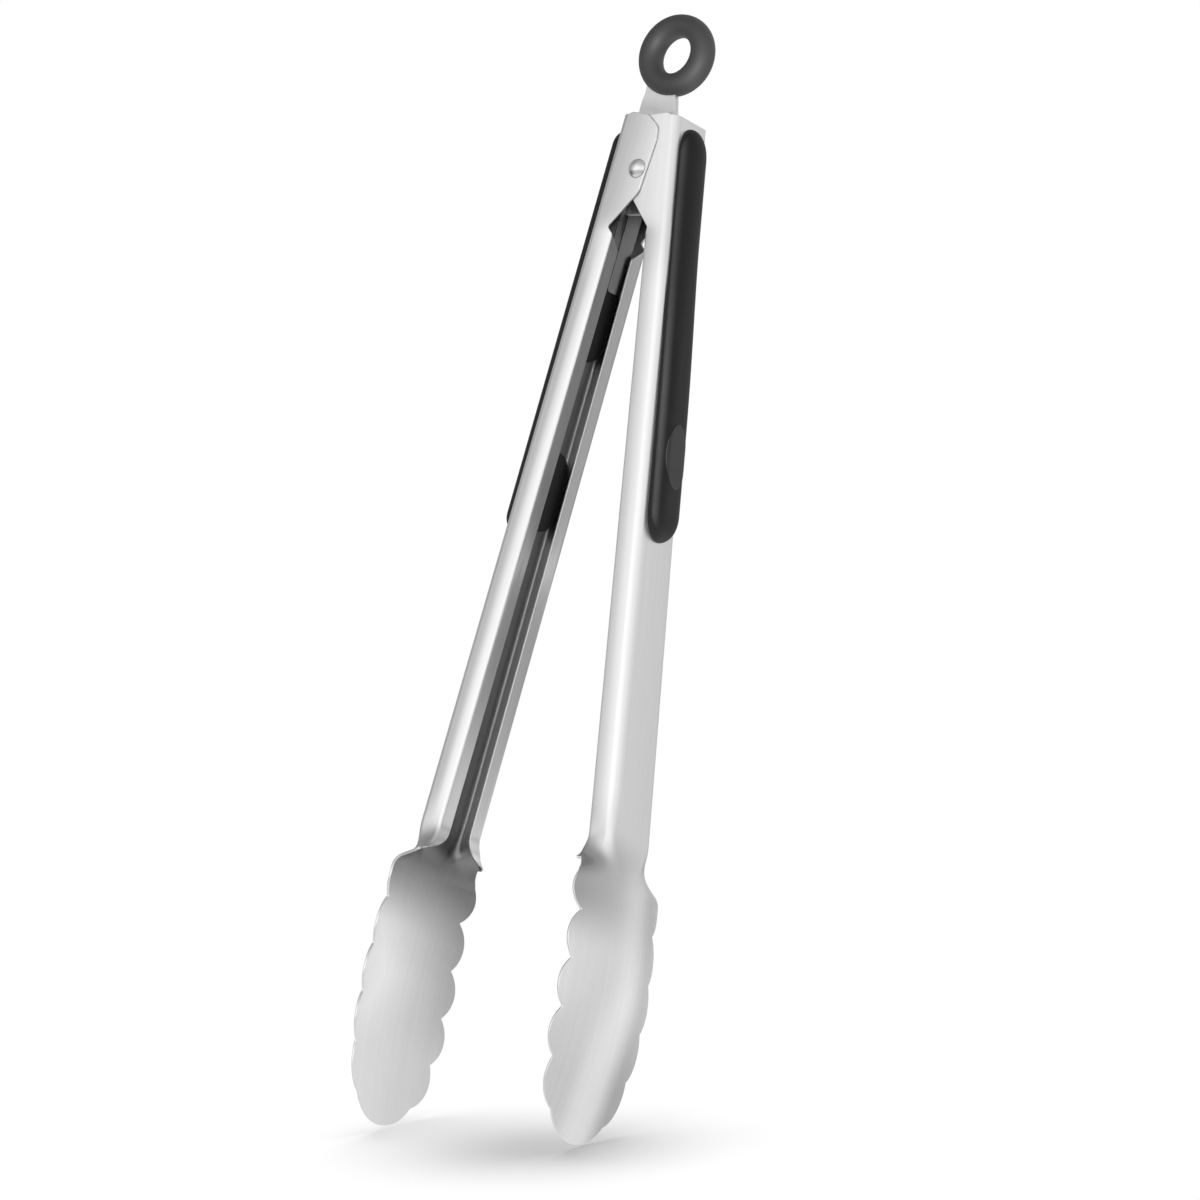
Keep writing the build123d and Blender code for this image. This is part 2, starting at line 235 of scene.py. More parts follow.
floor_normal = cos(floor_tilt) * up + sin(floor_tilt) * toward
feet = []
for name in ("inner_arm", "outer_arm"):
    points = np.array([v.co for v in frame["nodes"][name].data.vertices])
    feet.append(Vector(points[np.argmin(points @ np.array(floor_normal))]))
between = (feet[1] - feet[0]).normalized()
floor_normal = (floor_normal - floor_normal.dot(between) * between).normalized()
floor_height = min(foot.dot(floor_normal) for foot in feet) - floor_gap
centre = (feet[0] + feet[1]) / 2
centre = centre + (floor_height - centre.dot(floor_normal)) * floor_normal
deep = floor_normal.cross(right).normalized()
across = deep.cross(floor_normal)
turns = [2 * pi * n / rim_points for n in range(rim_points)]
rim = [centre + floor_radius * (cos(turn) * across + sin(turn) * deep) for turn in turns]
floor_mesh = bpy.data.meshes.new("floor")
floor_mesh.from_pydata(rim, [], [list(range(rim_points))])
floor = placed("floor", floor_mesh)
lean = degrees(floor_normal.angle(Vector((0, 0, 1))))
print("floor faces up by", round(lean, 1), "degrees from the tongs' axis")

# %% [markdown]
# The floor is partly matt, so that it takes a faint shadow of the tongs, and partly glowing,
# so that it stays white. Further out it glows fully and is lost in the backdrop. A soft pool
# of shade under the heads is drawn in the finish. Mirrored rays see the disc as plain
# white that dims at its rim, and its underside is see-through, so that it hides nothing when
# the tongs are looked at from behind or from below.

# %% Finish of the floor
matt_tone = 0.8
pool_centre = centre + 0.0145 * across - 0.022 * deep
pool_spread = 0.027
pool_depth = 0.39
least_glow = 0.55

floor_material = bpy.data.materials.new("white_floor")
floor_material.use_nodes = True
tree = floor_material.node_tree
tree.nodes.clear()
new, do, step, on_vectors = (partial(use, tree) for use in (add, maths, soft_step, vectors))
geometry = new("NewGeometry").outputs
spot = geometry["Position"]
off = on_vectors("DISTANCE", spot, tuple(pool_centre)).outputs["Value"]
fall = do("MULTIPLY", do("POWER", off, 2.0), -0.5 / pool_spread**2)
pool = do("EXPONENT", fall)
tone = do("MULTIPLY_ADD", pool, -pool_depth * matt_tone, matt_tone)
matt = new("BsdfDiffuse", Color=grey(tree, tone))
glow_level = do("DIVIDE", tone, matt_tone)
glow = new("Emission", Color=WHITE, Strength=glow_level)
out = on_vectors("DISTANCE", spot, tuple(centre)).outputs["Value"]
glow_share = step(out, 0.08, 0.24, least_glow, 1.0)
faded = new("MixShader", Fac=glow_share, i1=matt, i2=glow)
dim = step(out, 0.32, 0.42, 0.88, 0.4)
in_steel = new("Emission", Color=WHITE, Strength=dim)
glossy_ray = new("LightPath").outputs["Is Glossy Ray"]
shown = new("MixShader", Fac=glossy_ray, i1=faded, i2=in_steel)
clear = new("BsdfTransparent")
under = geometry["Backfacing"]
mixed = new("MixShader", Fac=under, i1=shown, i2=clear)
new("OutputMaterial", Surface=mixed)
floor_mesh.materials.append(floor_material)

# %% [markdown]
# The steel takes all its light from the backdrop. The lamps are for the rest, and each lights
# only what is in its own collection: one above for the floor, a key at the left for the soft
# pieces of the inner arm, and one in front for the ring.

# %% Lamps
def softbox(name, side, height, depth, size, power, lights):
    """A square lamp aimed at the middle of the tongs; its place is in the camera's directions."""
    lamp = bpy.data.lights.new(name, "AREA")
    lamp.shape = "RECTANGLE"
    lamp.size = lamp.size_y = size
    lamp.energy = power
    box = placed(name, lamp)
    spot = aim + side * right + height * up + depth * toward
    box.location = spot
    box.rotation_euler = (aim - spot).to_track_quat("-Z", "Y").to_euler()
    group = bpy.data.collections.new(lights)
    box.light_linking.receiver_collection = group
    return group


on_floor = softbox("top_lamp", 0.0, 1.2, -0.12, 1.3, 31, "on_floor")
on_floor.objects.link(floor)
soft_parts = softbox("key_lamp", -1.1, 0.1, 0.3, 0.35, 30, "soft_parts")
hanger = softbox("front_lamp", 0.25, -0.15, 1.1, 0.5, 20, "hanger")

# %% [markdown]
# Three effects are used by several finishes, so each is a shader group. "Fine grain" draws
# the lines that a brushing wheel leaves, "Soft edges" rounds the corners of a piece for the
# light, and "Mould texture" is the faint unevenness of soft plastic.

# %% Shader group: the lines of a brushed surface
def group_tree(name, takes, gives, family="ShaderNodeTree"):
    """A node group with named inputs and outputs: its tree and its two ends."""
    tree = bpy.data.node_groups.new(name, family)
    for label, kind, value in takes:
        socket = tree.interface.new_socket(label, in_out="INPUT", socket_type="NodeSocket" + kind)
        if value is not None:
            socket.default_value = value
    for label, kind in gives:
        tree.interface.new_socket(label, in_out="OUTPUT", socket_type="NodeSocket" + kind)
    return tree, add(tree, "NodeGroupInput").outputs, add(tree, "NodeGroupOutput").inputs


FLOAT, VECTOR = "Float", "Vector"
grain, taken, given = group_tree(
    "Fine grain",
    [("Place", VECTOR, None), ("Lines per metre", FLOAT, 2500.0), ("Length ratio", FLOAT, 0.02)],
    [("Height", FLOAT), ("Streaks", FLOAT)],
)
fine = taken["Lines per metre"]
along = maths(grain, "MULTIPLY", fine, taken["Length ratio"])
stretch = add(grain, "CombineXYZ", X=fine, Y=along, Z=fine)
drawn = vectors(grain, "MULTIPLY", taken["Place"], stretch).outputs[0]
broad = vectors(grain, "MULTIPLY", drawn, (0.22, 0.3, 0.22)).outputs[0]
for place, detail, roughness, label in ((drawn, 3.0, 0.6, "Height"), (broad, 2.0, 0.5, "Streaks")):
    noise = add(grain, "TexNoise", Vector=place, Scale=1.0, Detail=detail, Roughness=roughness)
    grain.links.new(noise.outputs["Fac"], given[label])

# %% Shader group: corners softened for the light
corners, taken, given = group_tree(
    "Soft edges",
    [("Radius", FLOAT, 0.0002), ("Normal", VECTOR, None)],
    [("Normal", VECTOR), ("Edge", FLOAT)],
)
worn = add(corners, "Bevel", {"samples": 6})
corners.links.new(taken["Radius"], worn.inputs["Radius"])
corners.links.new(taken["Normal"], worn.inputs["Normal"])
true_normal = add(corners, "NewGeometry").outputs["Normal"]
turned = vectors(corners, "DOT_PRODUCT", worn.outputs[0], true_normal).outputs["Value"]
corners.links.new(worn.outputs[0], given["Normal"])
# Edge is 1 where the softened normal turns away at a corner; steel paints a highlight there.
corners.links.new(remap(corners, turned, 0.995, 0.8), given["Edge"])

# %% Shader group: the faint unevenness of moulded soft plastic
mould, taken, given = group_tree(
    "Mould texture",
    [("Place", VECTOR, None), ("Grains per metre", FLOAT, 3000.0)],
    [("Height", FLOAT), ("Patches", FLOAT)],
)
place, grains = taken["Place"], taken["Grains per metre"]
for scale, detail, label in ((grains, 2.0, "Height"), (90.0, 3.0, "Patches")):
    noise = add(mould, "TexNoise", Vector=place, Scale=scale, Detail=detail)
    mould.links.new(noise.outputs["Fac"], given[label])


# %% [markdown]
# A finish is a Principled shader with its plain numbers set on it, and what changes over the
# surface comes from the groups. Both kinds of finish share the last steps: a tone and a gloss
# that vary a little, and a relief with softened corners.

# %% Helpers for finishes
def principled(name, **settings):
    """A material with a Principled shader: its tree, its shader and the material."""
    material = bpy.data.materials.new(name)
    material.use_nodes = True
    shader = material.node_tree.nodes["Principled BSDF"]
    for label, value in settings.items():
        shader.inputs[label.replace("_", " ")].default_value = value
    return material.node_tree, shader, material


def softened(tree, relief, strength, edge_radius):
    """The "Soft edges" group over a fine relief."""
    bump = add(tree, "Bump", Strength=strength, Distance=0.0001, Height=relief)
    soft = add(tree, "Group", {"node_tree": corners}, Normal=bump)
    soft.inputs["Radius"].default_value = edge_radius
    return soft.outputs


def around(tree, noise, level, less, more):
    """A level that follows a noise between two shares of itself."""
    return remap(tree, noise, 0.3, 0.7, level * less, level * more)


def wire(tree, shader, colour, gloss_or_painted_light, normal):
    """Colour, roughness and normal into the shader."""
    for label, socket in (("Base Color", colour), ("Roughness", gloss_or_painted_light), ("Normal", normal)):
        tree.links.new(socket, shader.inputs[label])


# %% [markdown]
# Steel takes its grain from a place on the flat blank where it has one, so that the lines run
# along the sheet wherever it is bent. Such a sheet also carries painted light and shade in an
# attribute: how bright each place on it is.

# %% Steel finishes
def steel(name, tone, roughness, lines, ratio, brushed=0.0, painted_edge_highlight=0.15, sheet=False):
    """Brushed steel: grain in the colour, the gloss and the relief, a painted highlight on its
    edges, and on a sheet painted light and shade.
    """
    tree, shader, material = principled(name, Metallic=1.0, Anisotropic=brushed)
    if sheet:
        where = add(tree, "UVMap", {"uv_map": "Blank"}).outputs[0]
    else:
        where = add(tree, "TexCoord").outputs["Object"]
        turned = add(tree, "Mapping", Vector=where, Rotation=(radians(90), 0, 0))
        where = turned.outputs[0]
    brush = add(tree, "Group", {"node_tree": grain}, Place=where)
    brush.inputs["Lines per metre"].default_value = lines
    brush.inputs["Length ratio"].default_value = ratio
    soft = softened(tree, brush.outputs["Height"], 0.06, 0.0002)
    shade = around(tree, brush.outputs["Streaks"], tone, 0.98, 1.02)
    # A painted highlight along the edges, where the softened normal turns.
    bright = maths(tree, "MULTIPLY_ADD", soft["Edge"], painted_edge_highlight, shade)
    # On a sheet the colour is multiplied by its painted light and shade.
    if sheet:
        painted_light_attribute = add(tree, "Attribute", {"attribute_name": "Painted_light"})
        bright = maths(tree, "MULTIPLY", bright, painted_light_attribute.outputs["Fac"])
    cool = maths(tree, "MULTIPLY", bright, 1.005)
    colour = add(tree, "CombineColor", Red=bright, Green=bright, Blue=cool).outputs[0]
    gloss_or_painted_light = around(tree, brush.outputs["Height"], roughness, 0.85, 1.15)
    wire(tree, shader, colour, gloss_or_painted_light, soft["Normal"])
    return material


arm_steel = steel("brushed_stainless", 0.78, 0.32, 3600.0, 0.012, 0.8, painted_edge_highlight=0.4, sheet=True)
plate_steel = steel("lock_stainless", 0.72, 0.40, 2200.0, 0.03, 0.6)
rivet_steel = steel("rivet_steel", 0.72, 0.24, 1500.0, 1.0, painted_edge_highlight=0.0)
spring_steel = steel("spring_steel", 0.36, 0.40, 3000.0, 1.0, painted_edge_highlight=0.0)


# %% Soft black finishes
def rubber(name, tone, roughness, grains, sheen, specular=0.2):
    """Soft moulded plastic: nearly black, with a broad dull gloss."""
    tree, shader, material = principled(
        name, Sheen_Weight=sheen, Sheen_Roughness=0.45, Specular_IOR_Level=specular
    )
    where = add(tree, "TexCoord").outputs["Object"]
    cast = add(tree, "Group", {"node_tree": mould}, Place=where)
    cast.inputs["Grains per metre"].default_value = grains
    soft = softened(tree, cast.outputs["Height"], 0.12, 0.0003)
    shade = around(tree, cast.outputs["Patches"], tone, 0.9, 1.12)
    gloss_or_painted_light = around(tree, cast.outputs["Patches"], roughness, 0.93, 1.07)
    wire(tree, shader, grey(tree, shade), gloss_or_painted_light, soft["Normal"])
    return material


grip_rubber = rubber("soft_black", 0.045, 0.55, 3500.0, 0.15)
inlay_rubber = rubber("inlay_black", 0.15, 0.80, 2500.0, 0.3)
anchor_plastic = rubber("anchor_black", 0.018, 0.50, 3000.0, 0.1)
ring_rubber = rubber("ring_black", 0.034, 0.62, 3500.0, 0.1, specular=0.5)


# %% [markdown]
# An arm is one sheet. On the real tongs a flat blank is cut out and then pressed: the long
# sides fold up into flanges, the flanges fold in into lips, and the end is dished into a
# spoon. The mesh is made the same way. First the outline of the flat blank is drawn, with
# "across" measured from its centre line and "depth" measured down from the pivot; then one
# formula says where each point of the blank ends up.

# %% Sizes of an arm, in millimetres
sheet = 0.8
back_out = 12.3
outer_inset = 1.5  # the outer arm sits this much closer to the pin
lip_out = 4.0
lip_width = 5.6
ear_width = 17.0
nested = 0.92  # the outer arm's ears stand this far outside the inner arm's
neck_width = 21.2
back_bend = 2.2
lip_bend = 1.1
ear_top = 17.0
back_top = 16.2
ear_reach = 3.9
notch_out = 4.8
notch_depth = 18.6
lip_start = 21.5
neck_at = 206.0
lip_end = 212.0
lobe_pitch = 14.4
first_valley = 229.0
valley_half = (18.4, 19.8, 20.0, 18.8, 13.2)
lobe_rise = 3.0
tip_rise = 7.4
shoulder_at = 222.0
dish_radius = 62.0
dish_turn = 20.0
inner_toe = 12.5
outer_toe = 8.2
wing_length = 24.0
head_step = 0.12
tip_depth = first_valley + (len(valley_half) - 1) * lobe_pitch + tip_rise
wall = back_out - back_bend - lip_out - lip_bend
opens_at = 204.0
opens_over = 19.0
rim_round = 0.22
hole = 2.05  # radius of the rivet hole
wall_bow = 13.0  # degrees: the walls are pressed with a slight bulge, which the light shows
back_bow = 3.5
lip_lean = 7.0  # degrees: the lips lean in towards the back plate


# %% The formula that folds the blank
def smooth(value):
    """Runs from 0 to 1 with level ends."""
    value = np.clip(value, 0.0, 1.0)
    return value * value * (3 - 2 * value)


def ramp(value, start, over):
    """Runs from 0 to 1 between a start and some way past it."""
    return smooth((value - start) / over)


def unit(vectors):
    """The same directions, each of length 1."""
    return vectors / np.linalg.norm(vectors, axis=-1, keepdims=True)


def half_width(ears, depth):
    """Half width over the flanges."""
    share = np.clip((depth - lip_start) / (neck_at - lip_start), 0.0, 1.0)
    return (ears + (neck_width - ears) * share) / 2


def section(ears, depth):
    """The folds at one depth: half of the flat, bend radius and turn, and the lip's fold line."""
    left = 1 - ramp(depth, opens_at, opens_over)
    turn = np.radians(dish_turn + (90 - dish_turn) * left**1.5)
    radius = 1 / (left**3 / back_bend + (1 - left**3) / dish_radius)
    half = half_width(ears, depth)
    flat = (half - back_bend) * left
    fold = half - back_bend + pi / 2 * back_bend + wall
    fold = fold + 15 * ramp(depth, 210, 12) + 15 * (1 - ramp(depth, 12, 9))
    return flat, radius, turn, np.maximum(fold, flat + radius * turn + 0.05)


def middle_line(ears, depth):
    """How far out the back plate stands; the head of the inner arm curves in further."""
    toe = inner_toe if ears == ear_width else outer_toe
    fall = np.maximum(0.0, depth - first_valley) / (tip_depth - first_valley)
    return back_out + (head_step + 0.2) * ramp(depth, opens_at, opens_over) - toe * fall**2.2


def folded(across, depth, ears):
    """Outer face of the pressed sheet, for points of the blank."""
    flat, radius, turn, fold = section(ears, depth)
    run = np.abs(across)
    bend = np.clip((run - flat) / radius, 0.0, turn)
    rest = np.clip(run - flat - radius * turn, 0.0, fold - flat - radius * turn)
    lip_turn = pi - turn
    second = np.clip((run - fold) / lip_bend, 0.0, lip_turn)
    lip = np.maximum(0.0, run - fold - lip_bend * lip_turn)
    side = np.minimum(run, flat) + radius * np.sin(bend) + rest * np.cos(turn)
    side = side + lip_bend * (np.sin(turn + second) - np.sin(turn)) - lip
    drop = radius * (1 - np.cos(bend)) + rest * np.sin(turn)
    drop = drop + lip_bend * (np.cos(turn) - np.cos(turn + second))
    return np.stack([middle_line(ears, depth) - drop, np.sign(across) * side, -depth], axis=-1)


def facing(across, depth, ears, bowed=False):
    """Outward direction of the sheet, from the slope of the formula."""
    step = 0.02
    by_run = folded(across + step, depth, ears) - folded(across - step, depth, ears)
    by_depth = folded(across, depth + step, ears) - folded(across, depth - step, ears)
    out = unit(np.cross(by_depth, by_run))
    if bowed:
        away = np.sign(across)[:, None] * unit(by_run)
        out = unit(out + bow(across, depth, ears)[:, None] * away)
    return out


def bow(across, depth, ears):
    """How far the light sees the sheet tilted away from the centre line, as a slope."""
    flat, radius, turn, fold = section(ears, depth)
    run = np.abs(across)
    start = flat + radius * turn / 2
    on_wall = (run - start) / (fold - start)
    on_back = run / np.maximum(flat, 0.1)
    past_lip = run - fold - lip_bend * (pi - turn)
    wall_tilt = np.interp(on_wall, [-0.15, 0.0, 1.0, 1.1], [0, -1, 1, 0])
    wall_tilt = wall_tilt * np.tan(radians(wall_bow))
    back_tilt = np.interp(on_back, [0, 1, 1.2], [0, 1, 0]) * np.tan(radians(back_bow))
    lip_tilt = np.interp(past_lip, [-0.4, 0.4], [0, 1]) * np.tan(radians(lip_lean))
    return (wall_tilt + back_tilt + lip_tilt) * (1 - smooth((depth - opens_at + 8) / 12))


# %% [markdown]
# Light and shade are painted over the sheet, as each place of it has a share of full brightness.
# Outside, the shoulder has painted shade, and on the head the crown has a painted highlight and
# its sides painted shade. One wall has a stripe, a painted highlight on the inner arm and painted
# shade on the outer one. Inside, the channel has painted shade and the dish painted light. None of
# this changes with the view.

# %% Painted light and shade on the sheet
inside_depths = [200, 209, 215, 224, 236, 250, 264]
inside_painted_light = [0.6, 0.4, 0.25, 0.5, 0.96, 1.12, 1.06]
crown_light = 0.2
side_shade = 0.2
painted_highlight_stripe = 0.14
painted_shade_stripe = 0.24


def painted_light_share(across, depth, ears, face):
    """Painted light and shade: share of the full brightness on one face of the sheet."""
    if face == "inner":
        tone = np.interp(depth, inside_depths, inside_painted_light)
        slope = 0.009 + 0.008 * ramp(depth, 222, 14) - 0.012 * ramp(depth, 250, 26)
        return tone * (1 - slope * across * ramp(depth, 206, 20))
    shoulder = ramp(depth, 202, 12) * (1 - ramp(depth, 223, 18))
    low_down = ramp(depth, 248, 30)
    crown = np.exp(-(((across - 5 + 5 * low_down) / 7) ** 2))
    crown = crown_light * crown * (1 - 0.6 * low_down)
    far_side = (side_shade + 0.22 * low_down) * smooth((across - 7 + 4 * low_down) / 11)
    near_side = 0.16 * low_down * smooth((-4 - across) / 8)
    head = (crown - far_side - near_side) * ramp(depth, 208, 14)
    up_wall = -across - half_width(ears, depth) - (pi / 2 - 1) * back_bend
    if ears == ear_width:
        stripe = painted_highlight_stripe * ramp(up_wall, -5, 2)
    else:
        stripe = -painted_shade_stripe * np.exp(-(((up_wall - 1.3) / 1.4) ** 2))
    stripe = stripe * ramp(depth, 20, 20) * (1 - ramp(depth, 190, 14))
    return 1 - shoulder * (0.2 - 0.014 * across) + head + stripe


# %% [markdown]
# The outline of the blank is drawn from the top edge down one side. Points that are known on
# the pressed arm, such as the corners of the ear and the valleys of the head, are brought
# back to the blank by the length of sheet between them and the centre line.

# %% Small helpers for outlines
def rounded(points, radii, steps=6):
    """Polyline with some corners rounded."""
    out = []
    for n, (corner, radius) in enumerate(zip(points, radii)):
        corner = Vector(corner)
        if radius == 0:
            out.append(corner)
            continue
        back = (Vector(points[n - 1]) - corner).normalized()
        on = (Vector(points[(n + 1) % len(points)]) - corner).normalized()
        angle = back.angle(on)
        centre = corner + (back + on).normalized() * radius / sin(angle / 2)
        start = corner + back * radius / np.tan(angle / 2) - centre
        end = corner + on * radius / np.tan(angle / 2) - centre
        for k in range(steps + 1):
            out.append(centre + radius * start.slerp(end, k / steps).normalized())
    return [(p.x, p.y) for p in out]


def arc_through(a, b, rise, steps=14):
    """Points of an arc from a to b that bulges outwards by rise."""
    a, b = np.array(a), np.array(b)
    chord = b - a
    length = np.linalg.norm(chord)
    out = np.array([chord[1], -chord[0]]) / length
    radius = (length**2 / 4 + rise**2) / (2 * rise)
    centre = (a + b) / 2 - out * (radius - rise)
    half = np.arcsin(length / 2 / radius)
    turns = np.linspace(-half, half, steps + 1)
    return [centre + radius * (np.cos(t) * out + np.sin(t) * chord / length) for t in turns]


def run_to_side(side, depth, ears):
    """Length of sheet from the centre line to a given half width, in the head."""
    runs = np.linspace(0, 30, 601)
    return np.interp(side, folded(runs, np.full(601, depth), ears)[:, 1], runs)


def run_to_height(height, depth, ears):
    """Length of sheet from the centre line to a height over the middle plane, in the channel."""
    edge = half_width(ears, depth) - back_bend
    if height > back_out - back_bend:
        return edge + back_bend * acos(1 - (back_out - height) / back_bend)
    return edge + pi / 2 * back_bend + back_out - back_bend - height


def spread(points, step):
    """The polyline again, with extra points so that none are further apart than step."""
    out = [points[0]]
    for a, b in zip(points, points[1:]):
        count = max(1, int(np.ceil(np.hypot(b[0] - a[0], b[1] - a[1]) / step)))
        for k in range(1, count + 1):
            out.append((a[0] + (b[0] - a[0]) * k / count, a[1] + (b[1] - a[1]) * k / count))
    return out


# %% One side of the blank
def head_half_outline():
    """Half width against depth over the scallops, from the shoulder to the tip."""
    valleys = [(half, first_valley + lobe_pitch * n) for n, half in enumerate(valley_half)]
    points = arc_through((valley_half[0] + 1.0, shoulder_at - 5.5), valleys[0], 2.9)
    for upper, lower in zip(valleys, valleys[1:]):
        points += arc_through(upper, lower, lobe_rise)[1:]
    last = valley_half[-1]
    radius = (last**2 + tip_rise**2) / (2 * tip_rise)
    start = np.arcsin(last / radius)
    for turn in np.linspace(start, 0, 19)[1:]:
        points.append(np.array([radius * sin(turn), tip_depth - radius + radius * cos(turn)]))
    return points


def blank_side(ears, pin_at):
    """Outline of one half of the blank, as (across, depth), from the top to the tip."""
    top = [(0.0, -back_top + 0.25)]
    for k in range(8):
        height = back_out - back_bend * (1 - cos(radians(90) * k / 7))
        top.append((run_to_height(height, 0, ears), -back_top + 0.25 * (1 - k / 7)))
    corners_at = [
        (back_out - back_bend, back_top),
        (back_out - 3.4, ear_top),
        (pin_at + 1.5, ear_top),
        (pin_at - ear_reach + 0.8, ear_top - 3.2),
        (pin_at - ear_reach, ear_top - 7.4),
        (pin_at - ear_reach + 1.1, -7.0),
        (pin_at + notch_out, -notch_depth),
        (lip_out + 0.35, -lip_start + 1.2),
    ]
    ear = rounded(corners_at, (0, 2.0, 3.0, 3.0, 3.0, 4.0, 1.0, 0))
    side = top + spread([(run_to_height(x, -z, ears), -z) for x, z in ear[1:]], 0.8)

    fold = half_width(ears, lip_start) - back_bend + pi / 2 * back_bend + wall
    whole_lip = pi / 2 * lip_bend + lip_width - lip_bend
    lip_edge = fold + whole_lip
    lip_top = [side[-1], (lip_edge, lip_start + 3.2), (lip_edge, lip_start + 30)]
    side += spread(rounded(lip_top, (0, 1.2, 0))[:-1], 0.6)[1:]
    for depth in np.arange(lip_start + 6, neck_at, 2.0):
        side.append((run_to_height(lip_out + lip_bend, depth, ears) + whole_lip, depth))
    root = run_to_height(lip_out + lip_bend, neck_at, ears)
    for turn in np.linspace(0, pi / 2, 14):
        side.append((root + 0.9 + (whole_lip - 0.9) * cos(turn), neck_at + 0.3 + 6.2 * sin(turn)))

    outline = head_half_outline()
    widths = np.array([p[0] for p in outline])
    depths = np.array([p[1] for p in outline])
    for depth in np.arange(lip_end + 1.0, shoulder_at + 1, 0.5):
        grown = root + 0.9 + (wing_length - root - 0.9) * smooth((depth - lip_end - 0.5) / 9.5)
        limit = run_to_side(np.interp(depth, depths, widths), depth, ears)
        if depth > depths[0] and limit < grown:
            break
        side.append((grown, depth))
    for width, depth_here in outline:
        if depth_here > depth:
            side.append((run_to_side(width, depth_here, ears), depth_here))
    return side


side = blank_side(ear_width, 0.0)
print("points down one side of the blank:", len(side))

# %% [markdown]
# The flat blank is meshed before it is folded. The outline and the rivet holes are fixed lines,
# and between them lies a grid with narrow columns where the sheet will bend. A constrained
# Delaunay triangulation joins the two. The rim is then rounded over in small steps from one
# face to the other, because a cut edge that was tumbled catches a thin bright line of light.

# %% Mesh of the flat blank
def loop_of(points):
    """Closed outline as an array, without a repeated first point."""
    points = np.array(points, float)
    keep = np.linalg.norm(points - np.roll(points, 1, axis=0), axis=1) > 1e-6
    return points[keep]


def outwards(loop, sign):
    """Direction away from the sheet at each point of a closed outline."""
    ahead = unit(np.roll(loop, -1, axis=0) - loop)
    behind = unit(loop - np.roll(loop, 1, axis=0))
    along = unit(ahead + behind)
    return sign * np.stack([along[:, 1], -along[:, 0]], axis=1)


def area(loop):
    """Signed area of a closed outline."""
    x, y = loop[:, 0], loop[:, 1]
    return 0.5 * np.sum(x * np.roll(y, -1) - np.roll(x, -1) * y)


def inside(points, loops):
    """Whether each point is in the sheet: inside an odd number of outlines."""
    crossings = np.zeros(len(points), int)
    for loop in loops:
        a, b = loop, np.roll(loop, -1, axis=0)
        for (ax, ay), (bx, by) in zip(a, b):
            if ay == by:
                continue
            between = (ay > points[:, 1]) != (by > points[:, 1])
            x = ax + (points[:, 1] - ay) / (by - ay) * (bx - ax)
            crossings += between & (points[:, 0] < x)
    return crossings % 2 == 1


def clearance(points, loops):
    """Distance of each point from the nearest outline."""
    best = np.full(len(points), 1e9)
    for loop in loops:
        for a, b in zip(loop, np.roll(loop, -1, axis=0)):
            d = b - a
            t = np.clip(((points - a) @ d) / max(d @ d, 1e-12), 0, 1)
            best = np.minimum(best, np.linalg.norm(points - a - t[:, None] * d, axis=1))
    return best


def columns(ears, depth):
    """Where the columns of the grid cross one depth, narrow where the sheet bends."""
    flat, radius, turn, fold = section(ears, np.array(depth))
    lip = fold + lip_bend * (pi - turn)
    knots = [0, flat, flat + radius * turn, fold, lip, lip + 6]
    counts = (5, 12, 5, 6, 5)
    run = [0.0]
    for a, b, count in zip(knots, knots[1:], counts):
        run += list(a + (b - a) * np.arange(1, count + 1) / count)
    spread_out = ramp(depth, neck_at, 12)
    return (1 - spread_out) * np.array(run) + spread_out * np.linspace(0, 26, len(run))


def blank_loops(ears, pin_at):
    """The outline of the blank and its holes."""
    side = blank_side(ears, pin_at)
    left = [(-x, depth) for x, depth in reversed(side[1:-1])]
    loops = [loop_of(side + left)]
    hinge_at = run_to_height(pin_at, 0.0, ears)
    turns = [2 * pi * n / 28 for n in range(28)]
    for sign in (1, -1):
        middle = sign * hinge_at
        loops.append(loop_of([(middle + hole * cos(t), hole * sin(t)) for t in turns]))
    return loops


def blank_mesh(ears, pin_at):
    """Flat blank: its points, its triangles, and its inner outlines with their ways out."""
    loops = blank_loops(ears, pin_at)
    signs = [1 if area(loop) > 0 else -1 for loop in loops]
    ways = [outwards(loop, sign) for loop, sign in zip(loops, signs)]
    ways = [way if n == 0 else -way for n, way in enumerate(ways)]
    inner = [loop - rim_round * way for loop, way in zip(loops, ways)]

    rows = ((-16.4, 27, 1.1), (27.5, 203, 2.5), (203.5, tip_depth, 1.1))
    depths = np.concatenate([np.arange(*row) for row in rows])
    grid, grid_flat = [], []
    names = columns(ears, 100.0)
    for depth in depths:
        runs = columns(ears, depth)
        for run, nominal in zip(runs, names):
            for sign in ((1,) if nominal == 0 else (1, -1)):
                grid.append((sign * run, depth))
                grid_flat.append((sign * nominal, depth))
    grid, grid_flat = np.array(grid), np.array(grid_flat)
    keep = inside(grid, inner)
    keep[keep] = clearance(grid[keep], inner) > 0.35
    grid, grid_flat = grid[keep], grid_flat[keep]

    def to_flat(points):
        out = []
        for x, depth in points:
            runs = columns(ears, depth)
            order = np.arange(len(runs)) * 1e-7
            out.append((np.sign(x) * np.interp(abs(x), runs + order, names), depth))
        return np.array(out)

    flat_loops = [to_flat(loop) for loop in inner]
    flat_all = np.concatenate(flat_loops + [grid_flat])
    true_all = np.concatenate(inner + [grid])
    edges, start = [], 0
    for loop in inner:
        count = len(loop)
        edges += [(start + n, start + (n + 1) % count) for n in range(count)]
        start += count
    made = delaunay_2d_cdt([Vector(p) for p in flat_all], edges, [], 0, 1e-6)
    source = [ids[0] if ids else -1 for ids in made[3]]
    faces = np.array([[source[v] for v in face] for face in made[2]])
    faces = faces[inside(flat_all[faces].mean(axis=1), flat_loops)]
    return true_all, faces, inner, ways


# %% Fold the blank and close it into a sheet with two faces and a rounded rim
rim_steps = 6


